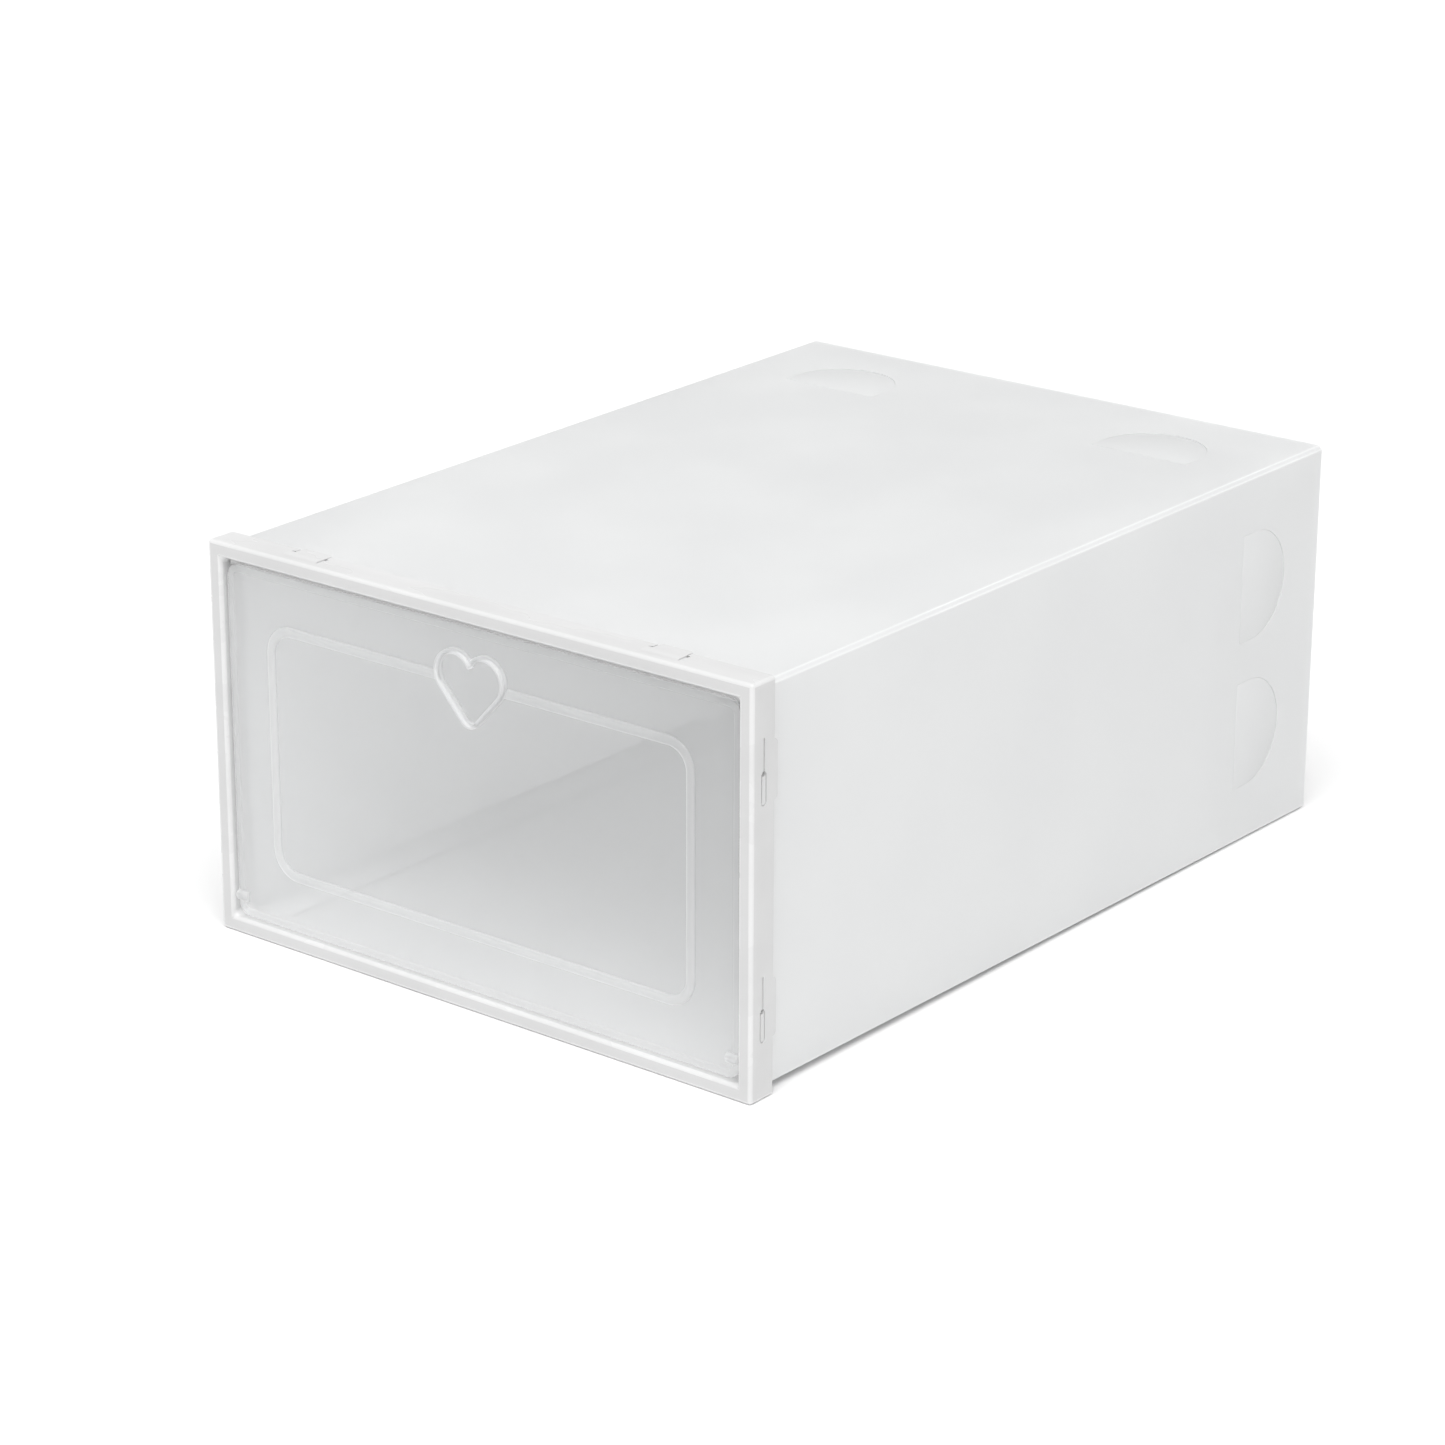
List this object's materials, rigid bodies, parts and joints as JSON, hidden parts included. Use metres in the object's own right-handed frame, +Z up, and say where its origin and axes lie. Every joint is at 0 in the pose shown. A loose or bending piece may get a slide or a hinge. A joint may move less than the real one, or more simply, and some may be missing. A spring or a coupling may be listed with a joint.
{
  "type": "shoe box",
  "caption": "Stackable drop-front shoe box: a folded translucent plastic sheet body, a clip-on front frame and a hinged door with a heart-shaped pull.",
  "frame": {"origin": "under the middle of the box, on the surface it stands on", "axes": "+Z up, the door faces -Y, +X to the right as seen from the front"},
  "size_m": [0.23, 0.33, 0.14],
  "materials": {
    "sheet": "frosted translucent polypropylene sheet",
    "frame": "satin moulded polypropylene, milky white",
    "door": "smooth, clear moulded plastic with a slight haze"
  },
  "bodies": {
    "tube": {"bottom_panel": "sheet", "left_panel": "sheet", "right_panel": "sheet", "top_panel": "sheet", "seam_flap": "sheet", "top_lock_tongue_left": "sheet", "top_lock_tongue_right": "sheet", "left_lock_tongue_lower": "sheet", "left_lock_tongue_upper": "sheet", "right_lock_tongue_lower": "sheet", "right_lock_tongue_upper": "sheet"},
    "back": {"back_panel": "sheet", "back_left_flap": "sheet", "back_right_flap": "sheet"},
    "top_tuck": {"back_top_flap": "sheet"},
    "frame": {"front_frame": "frame"},
    "door": {"door": "door"}
  },
  "joints": [
    {"name": "frame_pull_off", "type": "slide", "parent": "tube", "child": "frame", "axis": [0, -1, 0], "range_m": [0, 0.03]},
    {"name": "door_drop", "type": "hinge", "parent": "frame", "child": "door", "pos_m": [0, -0.1617, 0.0131], "axis": [1, 0, 0], "range_deg": [0, 94]},
    {"name": "back_swing", "type": "hinge", "parent": "tube", "child": "back", "pos_m": [0, 0.1647, 0.00062], "axis": [-1, 0, 0], "range_deg": [0, 90]},
    {"name": "top_tuck_fold", "type": "hinge", "parent": "back", "child": "top_tuck", "pos_m": [0, 0.16425, 0.1369], "axis": [1, 0, 0], "range_deg": [0, 90]}
  ],
  "couplings": [
    {"joint": "top_tuck_fold", "follows": "back_swing", "ratio": 1}
  ]
}
